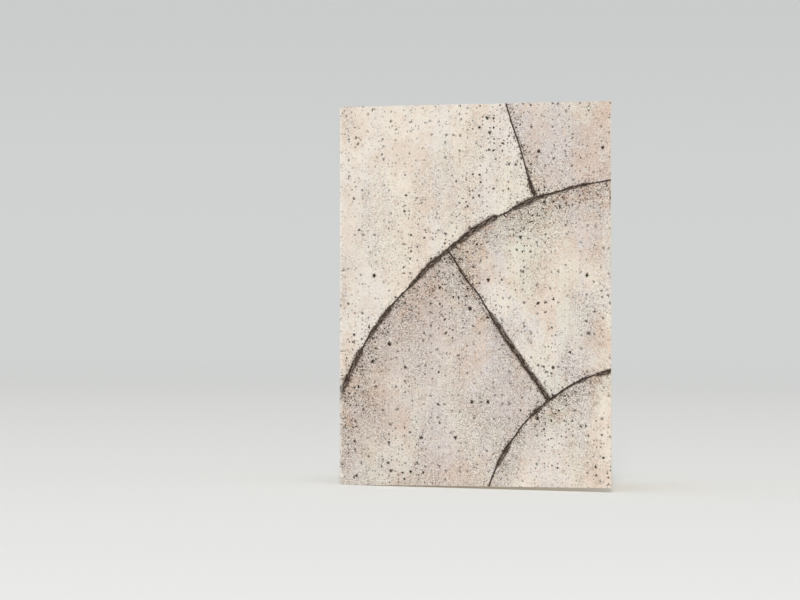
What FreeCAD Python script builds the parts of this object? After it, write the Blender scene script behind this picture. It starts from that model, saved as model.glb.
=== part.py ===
# Greeting card: one sheet of card stock, scored down the middle, folded once and standing a little open.
# The frame is in millimetres, +Z up. The fold stands at -X, the front leaf faces -Y and the back leaf +Y.

import FreeCAD, Part
import math
import os

import Sketcher

START, END, CENTRE = 1, 2, 3
ORIGIN = (-1, START)
X_AXIS = -1

# Driving dimensions, in millimetres and degrees
DIMENSIONS = {
    "leaf_width": 107.95,       # folded width, from the outside of the fold to the trimmed edge
    "leaf_height": 139.7,       # along the fold
    "stock_thickness": 0.4,     # one layer of card
    "opening_angle": 46.0,      # between the two leaves
    "spine_radius": 0.5,        # outside of the rounded fold
    "score_depth": 0.06,        # how far the score sinks the spine below the outer faces
    "score_reach": 1.3,         # from the middle of the fold to where the outer face runs flat
    "bead_reach": 0.75,         # from the middle of the fold to where the bead meets the inner face
    "bead_height": 0.12,        # how far the bead of pushed-up stock stands out between the leaves
    "lean_angle": 1.2,          # the card tips back about the foot of its back leaf
}


def add_sheet(doc):
    """Spreadsheet that holds the driving dimensions, one alias each."""
    sheet = doc.addObject("Spreadsheet::Sheet", "sizes")
    for row, (name, value) in enumerate(DIMENSIONS.items(), start=1):
        sheet.set(f"A{row}", name)
        sheet.set(f"B{row}", str(value))
        sheet.setAlias(f"B{row}", name)
    return sheet


def origin_plane(body, role):
    """One of the body's own origin planes."""
    return next(plane for plane in body.Origin.OriginFeatures if plane.Role == role)


def joined(sketch, first, first_point, second, second_point):
    """Two lines or arcs meet end to end."""
    sketch.addConstraint(Sketcher.Constraint("Coincident", first, first_point, second, second_point))


def bound(sketch, constraint, name, expression):
    """A constraint whose value follows the spreadsheet."""
    index = sketch.addConstraint(constraint)
    sketch.renameConstraint(index, name)
    sketch.setExpression(f"Constraints.{name}", expression)


def add_half_section(body, sheet):
    """Half of the card in plan: the back leaf, and the fold as far as the plane between the leaves.

    The centre of the fold is the sketch's origin and the plane between the leaves is its X axis.
    """
    half_angle = math.radians(sheet.opening_angle / 2)
    face_offset = sheet.spine_radius + sheet.score_depth
    flat_run = sheet.leaf_width - sheet.spine_radius - sheet.score_reach

    def place(run, offset):
        """Point at a run along the leaf and an offset out of it, both from the centre of the fold."""
        return FreeCAD.Vector(
            run * math.cos(half_angle) - offset * math.sin(half_angle),
            run * math.sin(half_angle) + offset * math.cos(half_angle),
            0,
        )

    # Corners of the section, where the constraints below hold them
    inner_offset = face_offset - sheet.stock_thickness
    bead_run = math.sqrt(sheet.bead_reach ** 2 - inner_offset ** 2)
    foot = place(0, face_offset)
    shoulder = place(sheet.score_reach, face_offset)
    outer_corner = place(sheet.score_reach + flat_run, face_offset)
    inner_corner = place(sheet.score_reach + flat_run, inner_offset)
    bead_side = place(bead_run, inner_offset)
    bead_crown = FreeCAD.Vector(bead_side.x + sheet.bead_height, 0, 0)
    bead_radius = (bead_side.y ** 2 + sheet.bead_height ** 2) / (2 * sheet.bead_height)
    bead_centre = FreeCAD.Vector(bead_crown.x - bead_radius, 0, 0)
    touch_angle = math.atan2(shoulder.y, shoulder.x) + math.acos(sheet.spine_radius / shoulder.Length)
    touch = FreeCAD.Vector(math.cos(touch_angle), math.sin(touch_angle), 0) * sheet.spine_radius
    spine_back = FreeCAD.Vector(-sheet.spine_radius, 0, 0)

    up = FreeCAD.Vector(0, 0, 1)
    spine_circle = Part.Circle(FreeCAD.Vector(), up, sheet.spine_radius)
    bead_circle = Part.Circle(bead_centre, up, bead_radius)
    bead_angle = math.atan2(bead_side.y, bead_side.x - bead_centre.x)

    sketch = body.newObject("Sketcher::SketchObject", "half_section")
    sketch.AttachmentSupport = [(origin_plane(body, "XY_Plane"), "")]
    sketch.MapMode = "FlatFace"
    spine = sketch.addGeometry(Part.ArcOfCircle(spine_circle, touch_angle, math.pi))
    score = sketch.addGeometry(Part.LineSegment(touch, shoulder))
    outer = sketch.addGeometry(Part.LineSegment(shoulder, outer_corner))
    edge = sketch.addGeometry(Part.LineSegment(outer_corner, inner_corner))
    inner = sketch.addGeometry(Part.LineSegment(inner_corner, bead_side))
    bead = sketch.addGeometry(Part.ArcOfCircle(bead_circle, 0, bead_angle))
    middle = sketch.addGeometry(Part.LineSegment(bead_crown, spine_back))
    square = sketch.addGeometry(Part.LineSegment(FreeCAD.Vector(), foot), True)

    # The outline closes on itself, and its middle lies on the plane between the leaves
    joined(sketch, score, END, outer, START)
    joined(sketch, outer, END, edge, START)
    joined(sketch, edge, END, inner, START)
    joined(sketch, inner, END, bead, END)
    joined(sketch, bead, START, middle, START)
    joined(sketch, middle, END, spine, END)
    joined(sketch, spine, CENTRE, *ORIGIN)
    joined(sketch, square, START, *ORIGIN)
    for curve, point in ((middle, START), (middle, END), (bead, CENTRE)):
        sketch.addConstraint(Sketcher.Constraint("PointOnObject", curve, point, X_AXIS))

    # The spine runs smoothly into the score, and the layer of card is square and even
    sketch.addConstraint(Sketcher.Constraint("Tangent", spine, START, score, START))
    sketch.addConstraint(Sketcher.Constraint("Perpendicular", edge, outer))
    sketch.addConstraint(Sketcher.Constraint("Parallel", inner, outer))
    sketch.addConstraint(Sketcher.Constraint("Perpendicular", square, outer))
    sketch.addConstraint(Sketcher.Constraint("PointOnObject", square, END, outer))

    # Sizes
    bound(sketch, Sketcher.Constraint("Radius", spine, sheet.spine_radius), "spine", "sizes.spine_radius")
    bound(sketch, Sketcher.Constraint("Angle", X_AXIS, START, outer, START, half_angle), "half_opening",
          "sizes.opening_angle * 1 deg / 2")
    bound(sketch, Sketcher.Constraint("Distance", square, face_offset), "face_offset",
          "sizes.spine_radius + sizes.score_depth")
    bound(sketch, Sketcher.Constraint("Distance", square, END, outer, START, sheet.score_reach), "score",
          "sizes.score_reach")
    bound(sketch, Sketcher.Constraint("Distance", outer, flat_run), "outer_face",
          "sizes.leaf_width - sizes.spine_radius - sizes.score_reach")
    bound(sketch, Sketcher.Constraint("Distance", edge, sheet.stock_thickness), "thickness", "sizes.stock_thickness")
    bound(sketch, Sketcher.Constraint("Distance", *ORIGIN, inner, END, sheet.bead_reach), "bead",
          "sizes.bead_reach")
    bound(sketch, Sketcher.Constraint("DistanceX", inner, END, middle, START, sheet.bead_height), "crown",
          "sizes.bead_height")
    return sketch


def add_card(doc, sheet):
    """The folded sheet: half of it raised to the card's height, and mirrored across the plane of the fold."""
    body = doc.addObject("PartDesign::Body", "folded_card")
    body.Label = "folded_card"
    section = add_half_section(body, sheet)
    doc.recompute()

    back_half = body.newObject("PartDesign::Pad", "back_half")
    back_half.Profile = section
    back_half.setExpression("Length", "sizes.leaf_height")
    doc.recompute()

    both_halves = body.newObject("PartDesign::Mirrored", "both_halves")
    both_halves.Originals = [back_half]
    both_halves.MirrorPlane = (origin_plane(body, "XZ_Plane"), [""])
    body.Tip = both_halves
    doc.recompute()
    return body


def lean_back(body, sheet):
    """Tip the card back about the foot of its back leaf, and centre it over the origin on the ground."""
    half_angle = math.radians(sheet.opening_angle / 2)
    along_foot = FreeCAD.Vector(math.cos(half_angle), math.sin(half_angle), 0)
    face_offset = sheet.spine_radius + sheet.score_depth
    foot = FreeCAD.Vector(-math.sin(half_angle), math.cos(half_angle), 0) * face_offset
    lean = FreeCAD.Rotation(along_foot, -sheet.lean_angle)
    body.Placement = FreeCAD.Placement(FreeCAD.Vector(), lean, foot)
    room = body.Shape.BoundBox
    body.Placement.Base -= FreeCAD.Vector(room.Center.x, room.Center.y, room.ZMin)


def check(doc, body):
    """Stop if a feature failed or the card isn't one sound solid."""
    for item in doc.Objects:
        if "Invalid" in item.State or "Error" in item.State:
            raise RuntimeError(f"{item.Name} is {item.State}")
    if body.Shape.isNull() or not body.Shape.isValid() or len(body.Shape.Solids) != 1:
        raise RuntimeError(f"{body.Label} has no sound shape")


doc = FreeCAD.newDocument("greeting_card")
sizes = add_sheet(doc)
doc.recompute()
card = add_card(doc, sizes)
lean_back(card, sizes)
doc.recompute()
check(doc, card)

os.makedirs("parts", exist_ok=True)
card.Shape.exportStep(f"parts/{card.Label}.step")
box = card.Shape.BoundBox
print(f"{card.Label}: {card.Shape.Volume:.1f} mm3, {box.XLength:.2f} x {box.YLength:.2f} x {box.ZLength:.2f} mm")
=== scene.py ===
import math
from typing import NamedTuple

import bmesh
import bpy
from bpy.props import FloatProperty, FloatVectorProperty, IntProperty, PointerProperty
from bpy.types import Operator, Panel, PropertyGroup
from mathutils import Matrix, Vector


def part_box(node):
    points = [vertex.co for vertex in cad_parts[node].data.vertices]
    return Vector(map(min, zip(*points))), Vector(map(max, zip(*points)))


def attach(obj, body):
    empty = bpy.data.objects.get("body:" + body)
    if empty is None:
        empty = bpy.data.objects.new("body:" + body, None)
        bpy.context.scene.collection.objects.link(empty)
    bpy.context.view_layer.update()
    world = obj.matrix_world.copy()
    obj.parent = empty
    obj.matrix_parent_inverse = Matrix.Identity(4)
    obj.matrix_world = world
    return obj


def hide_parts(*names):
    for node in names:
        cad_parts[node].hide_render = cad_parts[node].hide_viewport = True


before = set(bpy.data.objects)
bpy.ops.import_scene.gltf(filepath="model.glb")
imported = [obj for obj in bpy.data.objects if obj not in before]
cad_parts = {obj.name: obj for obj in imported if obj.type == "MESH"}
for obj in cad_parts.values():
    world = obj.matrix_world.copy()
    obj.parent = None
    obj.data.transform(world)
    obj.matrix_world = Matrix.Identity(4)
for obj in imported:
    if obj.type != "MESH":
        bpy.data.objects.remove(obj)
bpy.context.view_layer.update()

bl_info = {
    "name": "Greeting Card",
    "version": (1, 0, 0),
    "blender": (4, 5, 0),
    "location": "View3D > Sidebar > Card",
    "description": "A folded greeting card printed with weathered stone, standing on a pale stage",
    "category": "Add Mesh",
}

NODE = "folded_card"
BODY = "root"

IMAGE_WIDTH = 800
SENSOR_WIDTH = 36.0
MM = 1000.0
SHEET_MAP = "sheet"
PRINT, PLAIN, TRIM = 0, 1, 2

# How the mesh is divided
SPINE_STEPS = 18
BEAD_STEPS = 8
FLOOR_SIDES = 96
SMOOTH_BELOW = math.radians(30.0)

# The free edges curl most at the foot, and by this share of it at the top
CURL_AT_TOP = 0.4

# A Mix node has sockets of the same names for numbers, vectors and colours, so those for colours go by place
MIX_FACTOR, MIX_FIRST, MIX_SECOND, MIX_RESULT = 0, 6, 7, 2


def length(name, default, description, low=0.0):
    """A length property, in metres."""
    return FloatProperty(
        name=name, description=description, default=default, min=low, unit="LENGTH", precision=5,
    )


def angle(name, default, description):
    """An angle property, given in degrees and kept in radians."""
    return FloatProperty(name=name, description=description, default=math.radians(default), subtype="ANGLE")


def colour(name, red, green, blue, description):
    """A colour property, given as the 0 to 255 values that it shows on screen."""
    shown = [channel / 255 for channel in (red, green, blue)]
    linear = [c / 12.92 if c <= 0.04045 else ((c + 0.055) / 1.055) ** 2.4 for c in shown]
    return FloatVectorProperty(
        name=name, description=description, default=linear, subtype="COLOR", min=0.0, max=1.0, size=3,
    )


def amount(name, default, description, high=1000.0):
    """A plain number property, from 0 up."""
    return FloatProperty(name=name, description=description, default=default, min=0.0, max=high)


class CardSizes(PropertyGroup):
    """The folded sheet's sizes."""
    leaf_width: length("Leaf width", 0.10795, "Folded width, from outside the fold to the trimmed edge")
    leaf_height: length("Leaf height", 0.1397, "Height of the card along its fold")
    stock: length("Stock", 0.0004, "Thickness of one layer of card")
    opening: angle("Opening", 46.0, "Angle between the two leaves")
    spine_radius: length("Spine radius", 0.0005, "Outside of the rounded fold")
    score_depth: length("Score depth", 0.00006, "How far the score sinks the spine below the outer faces")
    score_reach: length("Score reach", 0.0013, "From the fold's middle to where the outer face runs flat")
    bead_reach: length("Bead reach", 0.00075, "From the fold's middle to where the bead meets the inner face")
    bead_height: length("Bead height", 0.00012, "How far the bead stands out between the leaves")
    lean: angle("Lean", 1.2, "The card tips back about the foot of its back leaf")
    curl: length("Curl", 0.00025, "How far each free edge curls in from flat")
    columns: IntProperty(name="Columns", description="Strips across each leaf", default=24, min=2)
    rows: IntProperty(name="Rows", description="Strips up each leaf", default=28, min=2)


class PrintLook(PropertyGroup):
    """Colours and layout of the printed stone."""
    cream: colour("Cream", 233, 223, 209, "The palest stone")
    tan: colour("Tan", 211, 186, 168, "Warm beige stone")
    lilac: colour("Lilac", 219, 213, 212, "Cool pale grey stone")
    taupe: colour("Taupe", 202, 189, 184, "The darker slabs")
    ivory: colour("Ivory", 223, 221, 205, "Pale greenish stone")
    grime: colour("Grime", 140, 118, 102, "Brown dirt beside the joints")
    rust: colour("Rust", 204, 172, 147, "Warm stains")
    dust: colour("Dust", 119, 103, 90, "Grey-brown grain")
    fleck: colour("Fleck", 240, 234, 225, "Pale grains")
    speck: colour("Speck", 46, 34, 25, "Pits and specks")
    joint: colour("Joint", 54, 41, 33, "Dark strands in the joints between the slabs")
    packing: colour("Packing", 104, 87, 75, "Brown filling of the joints")
    centre_across: length("Centre across", 0.122, "Centre of the round joints, from the fold")
    centre_up: length("Centre up", -0.022, "Centre of the round joints, above the foot", low=-0.1)
    outer_round: length("Outer round", 0.134, "Radius of the outer joint")
    inner_round: length("Inner round", 0.066, "Radius of the inner joint")
    middle_turn: angle("Middle turn", 126.0, "Direction of the cross joint between the round ones")
    top_turn: angle("Top turn", 109.0, "Direction of the cross joint outside them")


class StockLook(PropertyGroup):
    """Colours of the unprinted card."""
    plain: colour("Plain stock", 240, 222, 187, "The unprinted inside and back")
    fibre: colour("Fibre", 227, 206, 168, "Faint fibres in the stock")
    trim: colour("Trimmed edge", 235, 225, 203, "The cut edge of the sheet")


class StageLook(PropertyGroup):
    """Floor, backdrop, lamps and camera."""
    floor: colour("Floor", 233, 234, 232, "Pale floor near the card")
    far_floor: colour("Backdrop foot", 209, 211, 210, "Backdrop where the floor meets it")
    backdrop: colour("Backdrop top", 202, 204, 204, "Backdrop higher up")
    backdrop_rise: amount("Backdrop rise", 0.06, "Height of its top colour, from 0 to 1", high=1.0)
    floor_reach: length("Floor radius", 40.0, "Radius of the floor")
    fade_start: length("Fade start", 0.90, "Where the floor starts to turn to the backdrop's grey")
    fade_end: length("Fade end", 2.10, "Where the floor is wholly the backdrop's grey")
    world_strength: amount("World", 0.53, "Even light from all round")
    strip_power: amount("Strip power", 128.0, "Power of the tall narrow lamp in front, in watts")
    strip_width: length("Strip width", 0.34, "Width of the tall lamp")
    strip_height: length("Strip height", 4.0, "Height of the tall lamp")
    strip_azimuth: angle("Strip azimuth", -0.8, "Direction of the tall lamp, from the front to the right")
    strip_elevation: angle("Strip elevation", 31.0, "Height of the tall lamp's middle as seen from the card")
    soft_power: amount("Soft lamp power", 46.0, "Power of the wide lamp overhead, in watts")
    soft_size: length("Soft lamp size", 2.4, "Side of the wide lamp")
    soft_azimuth: angle("Soft lamp azimuth", -3.0, "Direction of the wide lamp, from the front to the right")
    soft_elevation: angle("Soft lamp elevation", 70.0, "Height of the wide lamp as seen from the card")
    lamp_reach: length("Lamp distance", 5.0, "From the lamps to the card")
    focal: amount("Focal length", 4773.0, "Focal length in pixels of the image", high=20000.0)
    distance: length("Distance", 1.7649, "From the camera to the foot of the fold, along the view")
    side: length("Side", 0.02126, "How far the camera stands to the right of the fold")
    camera_height: length("Camera height", 0.0871, "Height of the camera")
    turn: angle("Turn", 1.08, "How far the view is turned from the card's own front")
    pitch: angle("Pitch", 0.606, "How far the camera looks down")
    roll: angle("Roll", 0.447, "How far the camera is rolled")


class Value:
    """A number that varies over a surface: a socket whose sums are written as sums."""

    def __init__(self, nodes, socket):
        self.nodes = nodes
        self.socket = socket

    def maths(self, operation, first, second=0.0):
        """One Math node."""
        made = self.nodes.add("ShaderNodeMath", {"operation": operation}, {0: first, 1: second})
        return Value(self.nodes, made.outputs[0])

    def __add__(self, other):
        return self.maths("ADD", self, other)

    def __radd__(self, other):
        return self.maths("ADD", other, self)

    def __sub__(self, other):
        return self.maths("SUBTRACT", self, other)

    def __rsub__(self, other):
        return self.maths("SUBTRACT", other, self)

    def __mul__(self, other):
        return self.maths("MULTIPLY", self, other)

    def __rmul__(self, other):
        return self.maths("MULTIPLY", other, self)

    def __pow__(self, other):
        return self.maths("POWER", self, other)

    def __rpow__(self, other):
        return self.maths("POWER", other, self)

    def __abs__(self):
        return self.maths("ABSOLUTE", self)

    def __gt__(self, other):
        return self.maths("GREATER_THAN", self, other)

    def __lt__(self, other):
        return self.maths("LESS_THAN", self, other)

    def most(self, *others):
        """The largest of several numbers."""
        largest = self
        for other in others:
            largest = self.maths("MAXIMUM", largest, other)
        return largest

    def least(self, other):
        """The smaller of two numbers."""
        return self.maths("MINIMUM", self, other)

    def angle_over(self, other):
        """The angle whose tangent is this number over another."""
        return self.maths("ARCTAN2", self, other)

    def rise(self, start, full):
        """0 before start, 1 past full, and a smooth change between. It falls where start is above full."""
        made = self.nodes.add(
            "ShaderNodeMapRange",
            {"interpolation_type": "SMOOTHSTEP"},
            {"Value": self, "From Min": start, "From Max": full},
        )
        return Value(self.nodes, made.outputs["Result"])


class Nodes:
    """The nodes of one material or world."""

    def __init__(self, tree):
        self.tree = tree
        tree.nodes.clear()

    def add(self, kind, settings=None, inputs=None):
        """A node of a kind, with its settings made first and then its sockets' values or links."""
        made = self.tree.nodes.new(kind)
        for name, value in (settings or {}).items():
            setattr(made, name, value)
        for key, value in (inputs or {}).items():
            if isinstance(value, Value):
                value = value.socket
            if isinstance(value, bpy.types.NodeSocket):
                self.tree.links.new(value, made.inputs[key])
            else:
                made.inputs[key].default_value = value
        return made

    def value(self, socket):
        """A socket as a number to do sums with."""
        return Value(self, socket)

    def point(self, x, y, z=0.0):
        """A vector from three numbers."""
        return self.add("ShaderNodeCombineXYZ", inputs={"X": x, "Y": y, "Z": z}).outputs["Vector"]

    def split(self, vector):
        """The three numbers of a vector."""
        parts = self.add("ShaderNodeSeparateXYZ", inputs={"Vector": vector})
        return [self.value(parts.outputs[axis]) for axis in "XYZ"]

    def noise(self, vector, scale, detail, roughness):
        """Smooth noise, around 0.5."""
        made = self.add(
            "ShaderNodeTexNoise",
            {"noise_dimensions": "3D"},
            {"Vector": vector, "Scale": scale, "Detail": detail, "Roughness": roughness},
        )
        return self.value(made.outputs["Fac"])

    def cells(self, vector, scale):
        """Scattered points: the distance to the nearest, and two random numbers that belong to it."""
        made = self.add(
            "ShaderNodeTexVoronoi",
            {"voronoi_dimensions": "2D", "feature": "F1"},
            {"Vector": vector, "Scale": scale, "Randomness": 1.0},
        )
        parts = self.add("ShaderNodeSeparateColor", inputs={"Color": made.outputs["Color"]})
        sockets = made.outputs["Distance"], parts.outputs[0], parts.outputs[1]
        return [self.value(socket) for socket in sockets]

    def mix(self, factor, first, second):
        """Two colours mixed."""
        made = self.add(
            "ShaderNodeMix",
            {"data_type": "RGBA", "clamp_factor": True},
            {MIX_FACTOR: factor, MIX_FIRST: opaque(first), MIX_SECOND: opaque(second)},
        )
        return made.outputs[MIX_RESULT]


def opaque(value):
    """A colour property as the four numbers that a socket takes, or a link as it is."""
    if isinstance(value, bpy.types.NodeSocket):
        return value
    return (*value, 1.0)


class Surface(NamedTuple):
    """How a finish takes the light."""
    roughness: float
    gloss: float  # 0.5 on a smooth hard thing, and less on bare paper
    tooth: float  # depth of its fine unevenness, in metres


INK = Surface(0.72, 0.2, 0.00003)
BARE_STOCK = Surface(0.82, 0.4, 0.00004)
CUT_EDGE = Surface(0.88, 0.4, 0.00005)


def new_finish(name):
    """A material with its nodes, its surface shader and its output still to be joined."""
    material = bpy.data.materials.new(name)
    material.use_nodes = True
    return material, Nodes(material.node_tree)


def finish_surface(nodes, base, across, up, surface):
    """The end of a material: its surface shader, with the fine tooth of uncoated card."""
    tooth = nodes.noise(nodes.point(across, up, 7.0), 2.6, 3.0, 0.6)
    bump = nodes.add("ShaderNodeBump", inputs={"Strength": 0.35, "Distance": surface.tooth, "Height": tooth})
    shader = nodes.add("ShaderNodeBsdfPrincipled", inputs={
        "Base Color": base,
        "Roughness": surface.roughness,
        "Specular IOR Level": surface.gloss,
        "Normal": bump.outputs["Normal"],
    })
    nodes.add("ShaderNodeOutputMaterial", inputs={"Surface": shader.outputs["BSDF"]})


def sheet_place(nodes, sizes):
    """Where a point lies on the flat sheet, in millimetres: from the fold towards the front leaf, and up."""
    spot = nodes.add("ShaderNodeUVMap", {"uv_map": SHEET_MAP})
    u, v, _ = nodes.split(spot.outputs["UV"])
    return (u - 0.5) * (2 * sizes.leaf_width * MM), v * (sizes.leaf_height * MM)


class Layer(NamedTuple):
    """Smooth noise over the sheet as a mask: 0 where it is before start, 1 where it is past full."""
    seed: float
    scale: float  # features a millimetre
    detail: float
    roughness: float
    start: float
    full: float
    stretch: float = 1.0  # under 1, the mask is drawn out upright


UPRIGHT = 0.35
LAYERS = {
    # Broad patches of the stone
    "warm": Layer(2.0, 0.036, 3.0, 0.55, 0.38, 0.60),
    "cool": Layer(21.0, 0.055, 4.0, 0.60, 0.42, 0.62, UPRIGHT),
    "green": Layer(33.0, 0.075, 4.0, 0.60, 0.48, 0.64, UPRIGHT),
    "broad": Layer(131.0, 0.030, 3.0, 0.55, 0.40, 0.60),
    # Wear, stains and dirt
    "zone": Layer(41.0, 0.070, 4.0, 0.60, 0.42, 0.62, UPRIGHT),
    "blotch": Layer(47.0, 0.28, 4.0, 0.70, 0.44, 0.66),
    "stain": Layer(55.0, 0.13, 3.0, 0.60, 0.50, 0.66),
    "gather": Layer(105.0, 0.20, 5.0, 0.70, 0.40, 0.60),
    "rub": Layer(141.0, 0.90, 3.0, 0.70, 0.35, 0.60),
    # Sandy grain
    "rusty_sand": Layer(57.0, 0.42, 3.0, 0.70, 0.52, 0.66),
    "grey_sand": Layer(59.0, 0.50, 3.0, 0.70, 0.52, 0.66),
    "ivory_sand": Layer(60.0, 0.47, 3.0, 0.70, 0.52, 0.66),
    "coarse_grain": Layer(51.0, 1.1, 3.0, 0.80, 0.53, 0.70),
    "fine_grain": Layer(61.0, 2.2, 2.0, 0.70, 0.49, 0.62),
    "pale_grain": Layer(61.0, 2.2, 2.0, 0.70, 0.48, 0.34),
    # Where specks crowd together
    "crowd": Layer(115.0, 0.050, 4.0, 0.60, 0.42, 0.60, UPRIGHT),
    "smudge": Layer(123.0, 0.33, 3.0, 0.60, 0.58, 0.68),
}


class Joint(NamedTuple):
    """A joint between slabs, in millimetres."""
    seed: float
    thin: float  # half its width where it is narrow
    thick: float  # half its width where it is wide
    dirt_reach: float  # how far the dirt on its lower side goes
    dirt: float  # how strong that dirt is, from 0 to 1


JOINTS = {
    "outer": Joint(71.0, 0.16, 1.05, 27.0, 1.0),
    "inner": Joint(83.0, 0.14, 0.85, 18.0, 0.9),
    "middle": Joint(97.0, 0.12, 0.90, 17.0, 0.8),
    "top": Joint(113.0, 0.12, 0.70, 14.0, 0.6),
}


class Pits(NamedTuple):
    """Scattered pits, in millimetres, at a share of places a spacing apart."""
    seed: float
    spacing: float
    radius: float
    share: float


BLOBS = Pits(3.0, 6.5, 0.90, 0.22)
SPOTS = Pits(11.0, 2.8, 0.62, 0.40)
DOTS = Pits(17.0, 1.35, 0.40, 0.40)


class Stone:
    """The printed stone, worked out from the place on the flat sheet in millimetres."""

    def __init__(self, nodes, sizes, look):
        self.nodes = nodes
        self.look = look
        self.across, self.up = sheet_place(nodes, sizes)
        beside = self.across - look.centre_across * MM
        above = self.up - look.centre_up * MM
        self.radius = (beside * beside + above * above) ** 0.5
        self.turn = above.angle_over(beside)

    def noise(self, seed, scale, detail, roughness, stretch=1.0):
        """Smooth noise over the sheet, around 0.5, with so many features a millimetre."""
        up = self.up if stretch == 1.0 else self.up * stretch
        return self.nodes.noise(self.nodes.point(self.across, up, seed), scale, detail, roughness)

    def mask(self, name):
        """One of the named layers."""
        layer = LAYERS[name]
        noise = self.noise(layer.seed, layer.scale, layer.detail, layer.roughness, layer.stretch)
        return noise.rise(layer.start, layer.full)

    def joint(self, shape, along, away):
        """A crumbling joint about the line where away is 0, with along as the place on that line.

        Gives its dark strands and crumbs, its brown filling, and the distance past its wandering middle.
        """
        noise, point, seed = self.nodes.noise, self.nodes.point, shape.seed
        far = away + (noise(point(along, seed), 0.05, 5.0, 0.55) - 0.5) * 2.6
        swell = noise(point(along, seed + 3.0), 0.055, 3.0, 0.6).rise(0.42, 0.58)
        half = swell * (shape.thick - shape.thin) + shape.thin
        crumble = (self.noise(seed + 5.0, 1.9, 4.0, 0.8) - 0.5) * 2.6
        ragged = abs(far) + crumble * (swell * 0.7 + 0.2)
        flaws = self.noise(seed + 11.0, 1.1, 3.0, 0.75).rise(0.54, 0.66)

        # Threads that run along the joint, and one dark line down its side
        threads = noise(point(along * 0.35, far * 1.3, seed + 7.0), 1.6, 3.0, 0.7).rise(0.42, 0.49)
        band = 1 - ragged.rise(half * 0.7, half * 1.1 + 0.1)
        line = 1 - (abs(far - half * 0.55) + crumble * 0.22).rise(0.17, 0.36)
        strands = (band * threads).most(line) * (1 - flaws * 0.5)

        # Filling between the threads, and crumbs beside them
        filling = (1 - ragged.rise(half * 0.9, half * 1.5 + 0.25)) * (1 - flaws * 0.3)
        near = 1 - abs(far).rise(0.0, 5.0)
        clump = self.noise(seed + 13.0, 0.15, 3.0, 0.6).rise(0.40, 0.60)
        crumbs = (self.noise(seed + 9.0, 1.35, 3.0, 0.7) + near * near * clump * 0.14).rise(0.61, 0.68)
        return strands.most(crumbs * near.rise(0.0, 0.4) * 0.85), filling, far

    def pits(self, kind):
        """Scattered pits with frayed rims: 1 inside a pit."""
        reach = kind.radius * 2.4
        fray_x = (self.noise(kind.seed, 1.7, 2.0, 0.55) - 0.5) * reach
        fray_y = (self.noise(kind.seed + 5.0, 1.7, 2.0, 0.55) - 0.5) * reach
        place = self.nodes.point(self.across + fray_x + kind.seed * 13.0, self.up + fray_y)
        distance, chance, size = self.nodes.cells(place, 1.0 / kind.spacing)
        rim = (size * 0.8 + 0.35) * (kind.radius / kind.spacing)
        return (1 - distance.rise(rim * 0.5, rim)) * (chance < kind.share)


class Slabs(NamedTuple):
    """Masks of the joints between the slabs and of what lies by them."""
    joints: Value
    filling: Value
    grey: Value
    pale: Value
    dirt: Value


def lay_slabs(stone):
    """Slabs in round courses: two round joints about one centre, and a cross joint in each of two courses."""
    look, radius, turn = stone.look, stone.radius, stone.turn
    outer_round, inner_round = look.outer_round * MM, look.inner_round * MM
    lines = {
        "outer": (turn * outer_round, radius - outer_round),
        "inner": (turn * inner_round, radius - inner_round),
        "middle": (radius, (turn - look.middle_turn) * radius),
        "top": (radius, (turn - look.top_turn) * radius),
    }
    strands, filling, far = {}, {}, {}
    for name, (along, away) in lines.items():
        strands[name], filling[name], far[name] = stone.joint(JOINTS[name], along, away)

    outside, inside = far["outer"] > 0.0, far["inner"] < 0.0
    between = (1 - outside) * (1 - inside)
    left_of_middle, left_of_top = far["middle"] > 0.0, far["top"] > 0.0

    def all_joints(masks):
        """The four joints as one mask, each cross joint only in its own course."""
        return masks["outer"].most(masks["inner"], masks["middle"] * between, masks["top"] * outside)

    # The slabs differ a little
    darker = (between * left_of_middle).most(outside * (1 - left_of_top) * 0.5)
    grey = darker * (stone.mask("broad") * 0.65 + 0.35)
    pale = (outside * left_of_top).most(inside * 0.6)

    # Brown dirt on the lower side of each joint
    lower_side = {
        "outer": 1 - outside,
        "inner": inside,
        "middle": between * left_of_middle,
        "top": outside * (1 - left_of_top),
    }
    first, *others = (
        (1 - abs(far[name]).rise(0.0, joint.dirt_reach)) * lower_side[name] * joint.dirt
        for name, joint in JOINTS.items()
    )
    dirt = first.most(*others)
    dirt = dirt * dirt * (stone.mask("gather") * 0.6 + 0.4)
    return Slabs(all_joints(strands), all_joints(filling), grey, pale, dirt)


def weather(stone, slabs):
    """The stone's colour with its patches, wear, stains and sandy grain, and a mask of how worn it is."""
    look, mask, mix = stone.look, stone.mask, stone.nodes.mix
    cool, zone = mask("cool"), mask("zone")
    stone_colour = mix(mask("warm"), look.cream, look.tan)
    stone_colour = mix(cool * 0.9, stone_colour, look.lilac)
    stone_colour = mix(mask("green") * 0.65, stone_colour, look.ivory)
    stone_colour = mix(slabs.grey * 0.7, stone_colour, look.taupe)
    stone_colour = mix(slabs.pale * 0.5, stone_colour, look.cream)

    worn = zone * 0.40 + cool * 0.20 + slabs.grey * 0.15 + mask("blotch") * zone * 0.3
    worn = (worn + slabs.dirt * 0.6 - slabs.pale * 0.2).most(0.0).least(1.0)
    coats = (
        (worn * 0.20, look.dust),
        (mask("stain") * (slabs.dirt * 0.75 + 0.20), look.rust),
        (slabs.dirt * 0.42, look.grime),
        (mask("rusty_sand") * 0.32, look.rust),
        (mask("grey_sand") * 0.40, look.lilac),
        (mask("ivory_sand") * 0.40, look.ivory),
        (mask("coarse_grain") * (worn * 0.50 + 0.10), look.dust),
        (mask("fine_grain") * (worn * 0.66 + 0.15), look.dust),
        (mask("pale_grain") * (worn * 0.6 + 0.35), look.fleck),
    )
    for share, tint in coats:
        stone_colour = mix(share, stone_colour, tint)
    return stone_colour, worn


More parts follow.
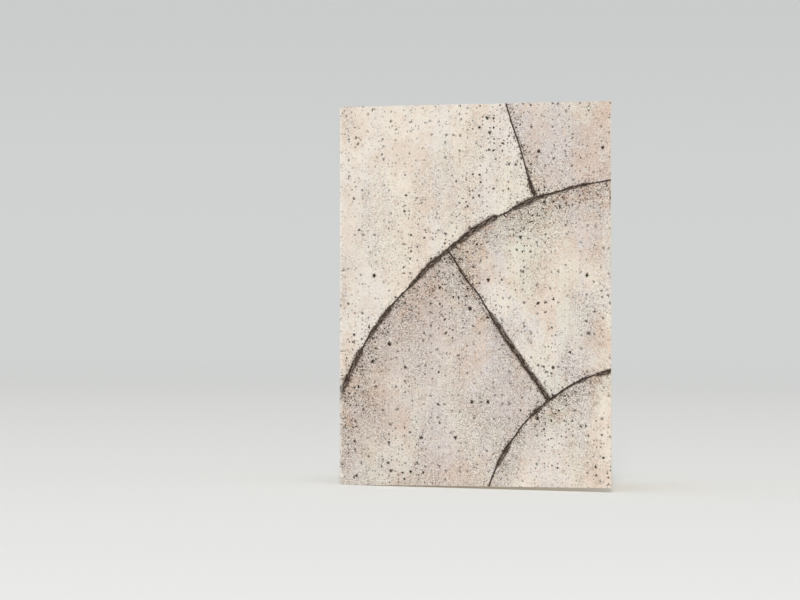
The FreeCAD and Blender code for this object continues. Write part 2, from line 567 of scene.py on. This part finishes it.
def add_specks(stone, stone_colour, worn, dirt):
    """The stone with smudges, pits and specks, thicker in some bands, in worn stone and in dirt."""
    look, crowd = stone.look, stone.mask("crowd")
    crumbs = (stone.noise(119.0, 1.25, 2.0, 0.6) + dirt * 0.07).rise(0.64, 0.70)
    crumbs = crumbs * (worn * 0.4 + crowd * 0.4 + dirt * 0.9 + 0.10)
    spots = stone.pits(SPOTS) * (crowd * 0.4 + 0.6)
    dots = stone.pits(DOTS) * (crowd * 0.5 + dirt * 0.3 + 0.35).least(1.0)
    stone_colour = stone.nodes.mix(stone.mask("smudge") * crowd * 0.30, stone_colour, look.dust)
    return stone.nodes.mix(stone.pits(BLOBS).most(spots, dots, crumbs), stone_colour, look.speck)


def add_print_finish(sizes, look):
    """Weathered stone in round courses: pale mottled ground, pits, and dark joints with dirt by them."""
    material, nodes = new_finish("printed_stone")
    stone = Stone(nodes, sizes, look)
    slabs = lay_slabs(stone)
    base, worn = weather(stone, slabs)
    base = add_specks(stone, base, worn, slabs.dirt)
    base = nodes.mix(slabs.filling * 0.8, base, look.packing)
    base = nodes.mix(slabs.joints, base, look.joint)

    # Ink rubbed thin along the fold
    by_fold = 1 - abs(stone.across).rise(0.2, 1.3)
    base = nodes.mix(by_fold * (stone.mask("rub") * 0.6 + 0.2), base, look.fleck)
    finish_surface(nodes, base, stone.across, stone.up, INK)
    return material


def add_plain_finish(sizes, look):
    """Uncoated card with faint fibres."""
    material, nodes = new_finish("plain_card")
    across, up = sheet_place(nodes, sizes)
    threads = nodes.noise(nodes.point(across * 0.35, up, 5.0), 1.4, 4.0, 0.65).rise(0.5, 0.75)
    cloud = nodes.noise(nodes.point(across, up, 9.0), 0.09, 3.0, 0.55).rise(0.4, 0.7)
    base = nodes.mix(threads * 0.45 + cloud * 0.2, look.plain, look.fibre)
    finish_surface(nodes, base, across, up, BARE_STOCK)
    return material


def add_trim_finish(sizes, look):
    """The cut edge, with the layers of the stock just showing."""
    material, nodes = new_finish("trimmed_edge")
    across, up = sheet_place(nodes, sizes)
    layers = nodes.noise(nodes.point(across, up, 15.0), 3.5, 3.0, 0.6).rise(0.45, 0.7)
    base = nodes.mix(layers * 0.5, look.trim, look.fibre)
    finish_surface(nodes, base, across, up, CUT_EDGE)
    return material


class Section:
    """The card in plan, as a ring of points: the outside from the front leaf to the back, then the inside.

    A side is -1 on the front leaf and 1 on the back. A run goes from the fold along a leaf, and an offset
    goes out of it.
    """

    def __init__(self, sizes):
        self.sizes = sizes
        self.half = sizes.opening / 2
        self.outer = sizes.spine_radius + sizes.score_depth
        self.inner = self.outer - sizes.stock
        self.run_end = sizes.leaf_width - sizes.spine_radius
        step = (self.run_end - sizes.score_reach) / sizes.columns
        self.runs = [sizes.score_reach + step * i for i in range(sizes.columns + 1)]

    def place(self, side, run, offset):
        """Point on a leaf."""
        x = run * math.cos(self.half) - offset * math.sin(self.half)
        y = run * math.sin(self.half) + offset * math.cos(self.half)
        return Vector((x, y * side))

    def curl(self, side, run):
        """How a leaf's points move as its free edge curls in."""
        share = max(0.0, run / self.run_end) ** 2
        return self.place(side, 0.0, -self.sizes.curl * share)

    def leaf(self, side, offset, outwards):
        """Points of one face of a leaf, with their places across the flat sheet and their curl."""
        runs = self.runs if outwards else self.runs[::-1]
        return [(self.place(side, run, offset), -side * run, self.curl(side, run)) for run in runs]

    def arc(self, centre, radius, start, end, steps):
        """Points inside an arc about a centre on the plane between the leaves, leaving out its ends."""
        points = []
        for i in range(1, steps):
            turn = start + (end - start) * i / steps
            spot = Vector((centre + radius * math.cos(turn), radius * math.sin(turn)))
            points.append((spot, -spot.y, Vector((0.0, 0.0))))
        return points

    def outside(self):
        """Front outer face, spine, back outer face."""
        shoulder = self.place(1, self.sizes.score_reach, self.outer)
        touch = math.atan2(shoulder.y, shoulder.x) + math.acos(self.sizes.spine_radius / shoulder.length)
        spine = self.arc(0.0, self.sizes.spine_radius, -touch, touch - 2 * math.pi, SPINE_STEPS)
        return self.leaf(-1, self.outer, False) + spine + self.leaf(1, self.outer, True)

    def inside(self):
        """Back inner face, bead, front inner face."""
        reach = self.sizes.bead_reach
        run = math.sqrt(reach ** 2 - self.inner ** 2)
        meet = self.place(1, run, self.inner)
        height = self.sizes.bead_height
        radius = (meet.y ** 2 + height ** 2) / (2 * height)
        centre = meet.x + height - radius
        turn = math.atan2(meet.y, meet.x - centre)
        back_end, front_end = [
            (self.place(side, run, self.inner), -side * run, Vector((0.0, 0.0))) for side in (1, -1)
        ]
        bead = [back_end, *self.arc(centre, radius, turn, -turn, BEAD_STEPS), front_end]
        return self.leaf(1, self.inner, False) + bead + self.leaf(-1, self.inner, True)


def lean_and_centre(sizes):
    """The move from the section's own place to the frame: a lean about the back leaf's foot, and a shift."""
    half = sizes.opening / 2
    face = sizes.spine_radius + sizes.score_depth
    pivot = Vector((-math.sin(half) * face, math.cos(half) * face, 0.0))
    axis = Vector((math.cos(half), math.sin(half), 0.0))
    tip = Matrix.Translation(pivot) @ Matrix.Rotation(-sizes.lean, 4, axis) @ Matrix.Translation(-pivot)
    section = Section(sizes)
    corners = [
        tip @ Vector((spot.x, spot.y, height))
        for spot, _, _ in section.outside() + section.inside()
        for height in (0.0, sizes.leaf_height)
    ]
    low = Vector([min(corner[i] for corner in corners) for i in range(3)])
    high = Vector([max(corner[i] for corner in corners) for i in range(3)])
    cad_low, cad_high = (Vector(corner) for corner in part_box(NODE))
    middle = (cad_low + cad_high) / 2 - (low + high) / 2
    return Matrix.Translation(Vector((middle.x, middle.y, cad_low.z - low.z))) @ tip


def add_faces(mesh, rows, spine_middle, last_out, strips):
    """The sides of the sheet round its ring of points, and its two cut ends, each face with its finish."""
    count = len(rows[0])
    for low_row, high_row in zip(rows, rows[1:]):
        for i in range(count):
            j = (i + 1) % count
            face = mesh.faces.new((low_row[i], low_row[j], high_row[j], high_row[i]))
            if i < spine_middle:
                face.material_index = PRINT
            elif i in (last_out, count - 1):
                face.material_index = TRIM
            else:
                face.material_index = PLAIN

    for verts in (rows[0], rows[-1]):
        for i in range(strips):
            outer, inner = last_out - i, last_out + 1 + i
            front = (verts[i], verts[i + 1], verts[count - 2 - i], verts[count - 1 - i])
            back = (verts[outer - 1], verts[outer], verts[inner], verts[inner + 1])
            for corners in (front, back):
                mesh.faces.new(corners).material_index = TRIM
        fold = verts[strips:last_out - strips + 1] + verts[last_out + 1 + strips:count - strips]
        mesh.faces.new(fold).material_index = TRIM


def build_sheet_mesh(sizes):
    """The folded sheet as one closed mesh, with its flat-sheet map and its three finishes."""
    section = Section(sizes)
    outside = section.outside()
    ring = outside + section.inside()
    move = lean_and_centre(sizes)
    mesh = bmesh.new()
    rows, places = [], {}
    for row in range(sizes.rows + 1):
        height = sizes.leaf_height * row / sizes.rows
        bow = (1 + CURL_AT_TOP) / 2 + (1 - CURL_AT_TOP) / 2 * math.cos(math.pi * row / sizes.rows)
        verts = [
            mesh.verts.new(move @ Vector((spot.x + curl.x * bow, spot.y + curl.y * bow, height)))
            for spot, _, curl in ring
        ]
        for vert, (_, across, _) in zip(verts, ring):
            places[vert] = (0.5 + across / (2 * sizes.leaf_width), row / sizes.rows)
        rows.append(verts)

    add_faces(mesh, rows, len(outside) // 2, len(outside) - 1, sizes.columns)
    bmesh.ops.recalc_face_normals(mesh, faces=mesh.faces)
    layer = mesh.loops.layers.uv.new(SHEET_MAP)
    for face in mesh.faces:
        for loop in face.loops:
            loop[layer].uv = places[loop.vert]
    made = bpy.data.meshes.new("card")
    mesh.to_mesh(made)
    mesh.free()
    made.shade_smooth()
    made.set_sharp_from_angle(angle=SMOOTH_BELOW)
    return made


class CARD_OT_folded_sheet(Operator):
    """Make the folded sheet with its print"""
    bl_idname = "card.folded_sheet"
    bl_label = "Folded Sheet"

    def execute(self, context):
        sizes, stock = context.scene.card_sizes, context.scene.card_stock
        card = bpy.data.objects.new("card", build_sheet_mesh(sizes))
        context.scene.collection.objects.link(card)
        card.data.materials.append(add_print_finish(sizes, context.scene.card_print))
        card.data.materials.append(add_plain_finish(sizes, stock))
        card.data.materials.append(add_trim_finish(sizes, stock))
        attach(card, BODY)
        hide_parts(NODE)
        return {"FINISHED"}


def seen_straight(nodes):
    """1 where the camera, a gloss or a clear surface looks straight at the backdrop."""
    path = nodes.add("ShaderNodeLightPath")
    camera = nodes.value(path.outputs["Is Camera Ray"])
    gloss = nodes.value(path.outputs["Is Glossy Ray"])
    clear = nodes.value(path.outputs["Is Transmission Ray"])
    return camera.most(gloss, clear)


def add_floor(context, look):
    """A wide round floor, pale near the card and fading to the backdrop's grey."""
    mesh = bmesh.new()
    bmesh.ops.create_circle(
        mesh, cap_ends=True, cap_tris=False, radius=look.floor_reach, segments=FLOOR_SIDES,
    )
    made = bpy.data.meshes.new("floor")
    mesh.to_mesh(made)
    mesh.free()
    floor = bpy.data.objects.new("floor", made)
    context.scene.collection.objects.link(floor)

    material, nodes = new_finish("pale_floor")
    place = nodes.add("ShaderNodeTexCoord")
    reach = nodes.add("ShaderNodeVectorMath", {"operation": "LENGTH"}, {0: place.outputs["Object"]})
    far = nodes.value(reach.outputs["Value"]).rise(look.fade_start, look.fade_end)
    near = nodes.add("ShaderNodeBsdfPrincipled", inputs={
        "Base Color": opaque(look.floor),
        "Roughness": 0.9,
        "Specular IOR Level": 0.2,
    })
    grey = nodes.add("ShaderNodeEmission", inputs={"Color": opaque(look.far_floor)})
    both = nodes.add(
        "ShaderNodeMixShader",
        inputs={0: far * seen_straight(nodes), 1: near.outputs["BSDF"], 2: grey.outputs["Emission"]},
    )
    nodes.add("ShaderNodeOutputMaterial", inputs={"Surface": both.outputs["Shader"]})
    made.materials.append(material)


def add_world(context, look):
    """Even light from all round, with a grey backdrop where it is looked at."""
    world = bpy.data.worlds.new("studio")
    context.scene.world = world
    world.use_nodes = True
    nodes = Nodes(world.node_tree)
    place = nodes.add("ShaderNodeTexCoord")
    _, _, height = nodes.split(place.outputs["Generated"])
    backdrop = nodes.mix(height.rise(0.0, look.backdrop_rise), look.far_floor, look.backdrop)
    shown = nodes.add("ShaderNodeBackground", inputs={"Color": backdrop, "Strength": 1.0})
    light = nodes.add(
        "ShaderNodeBackground", inputs={"Color": (1.0, 1.0, 1.0, 1.0), "Strength": look.world_strength},
    )
    both = nodes.add(
        "ShaderNodeMixShader",
        inputs={0: seen_straight(nodes), 1: light.outputs["Background"], 2: shown.outputs["Background"]},
    )
    nodes.add("ShaderNodeOutputWorld", inputs={"Surface": both.outputs["Shader"]})


def add_lamp(context, name, power, width, height, azimuth, elevation):
    """An oblong lamp that looks at the middle of the card."""
    aim = Vector((0.0, 0.0, context.scene.card_sizes.leaf_height / 2))
    level = math.cos(elevation)
    towards = Vector((math.sin(azimuth) * level, -math.cos(azimuth) * level, math.sin(elevation)))
    lamp = bpy.data.lights.new(name, "AREA")
    lamp.shape = "RECTANGLE"
    lamp.energy = power
    lamp.size = width
    lamp.size_y = height
    made = bpy.data.objects.new(name, lamp)
    made.location = aim + context.scene.card_stage.lamp_reach * towards
    made.rotation_euler = towards.to_track_quat("Z", "Y").to_euler()
    context.scene.collection.objects.link(made)


def add_camera(context, sizes, look):
    """The camera, placed from the foot of the fold."""
    lens = bpy.data.cameras.new("camera")
    lens.sensor_width = SENSOR_WIDTH
    lens.lens = look.focal * SENSOR_WIDTH / IMAGE_WIDTH
    lens.clip_end = 2 * look.floor_reach
    camera = bpy.data.objects.new("camera", lens)
    foot = lean_and_centre(sizes) @ Vector((0.0, 0.0, 0.0))
    ground = Matrix.Translation(Vector((foot.x, foot.y, 0.0)))
    spot = Matrix.Translation(Vector((look.side, -look.distance, look.camera_height)))
    look_down = Matrix.Rotation(math.pi / 2 - look.pitch, 4, "X")
    camera.matrix_world = (
        ground @ Matrix.Rotation(look.turn, 4, "Z") @ spot @ look_down @ Matrix.Rotation(look.roll, 4, "Z")
    )
    context.scene.collection.objects.link(camera)
    context.scene.camera = camera


class CARD_OT_stage(Operator):
    """Make the floor, backdrop, lamps and camera"""
    bl_idname = "card.stage"
    bl_label = "Stage"

    def execute(self, context):
        look = context.scene.card_stage
        add_floor(context, look)
        add_world(context, look)
        add_lamp(
            context, "strip_lamp", look.strip_power, look.strip_width, look.strip_height,
            look.strip_azimuth, look.strip_elevation,
        )
        add_lamp(
            context, "soft_lamp", look.soft_power, look.soft_size, look.soft_size,
            look.soft_azimuth, look.soft_elevation,
        )
        add_camera(context, context.scene.card_sizes, look)
        context.scene.view_settings.view_transform = "Standard"
        return {"FINISHED"}


OPERATORS = (CARD_OT_folded_sheet, CARD_OT_stage)
GROUPS = {
    "card_sizes": CardSizes,
    "card_print": PrintLook,
    "card_stock": StockLook,
    "card_stage": StageLook,
}


class CARD_PT_tools(Panel):
    """Buttons, sizes and colours in the sidebar"""
    bl_label = "Greeting Card"
    bl_idname = "CARD_PT_tools"
    bl_space_type = "VIEW_3D"
    bl_region_type = "UI"
    bl_category = "Card"

    def draw(self, context):
        for operator in OPERATORS:
            self.layout.operator(operator.bl_idname)
        for name, group in GROUPS.items():
            box = self.layout.box()
            box.label(text=group.__doc__)
            for setting in group.__annotations__:
                box.prop(getattr(context.scene, name), setting)


def register():
    """Make the settings, the operators and the panel known."""
    for name, group in GROUPS.items():
        bpy.utils.register_class(group)
        setattr(bpy.types.Scene, name, PointerProperty(type=group))
    for made in (*OPERATORS, CARD_PT_tools):
        bpy.utils.register_class(made)


def unregister():
    """Take them away again, the last first."""
    for made in (CARD_PT_tools, *reversed(OPERATORS)):
        bpy.utils.unregister_class(made)
    for name, group in reversed(GROUPS.items()):
        delattr(bpy.types.Scene, name)
        bpy.utils.unregister_class(group)


def main():
    """Make the card and its stage."""
    register()
    bpy.ops.card.folded_sheet()
    bpy.ops.card.stage()


if __name__ == "__main__":
    main()
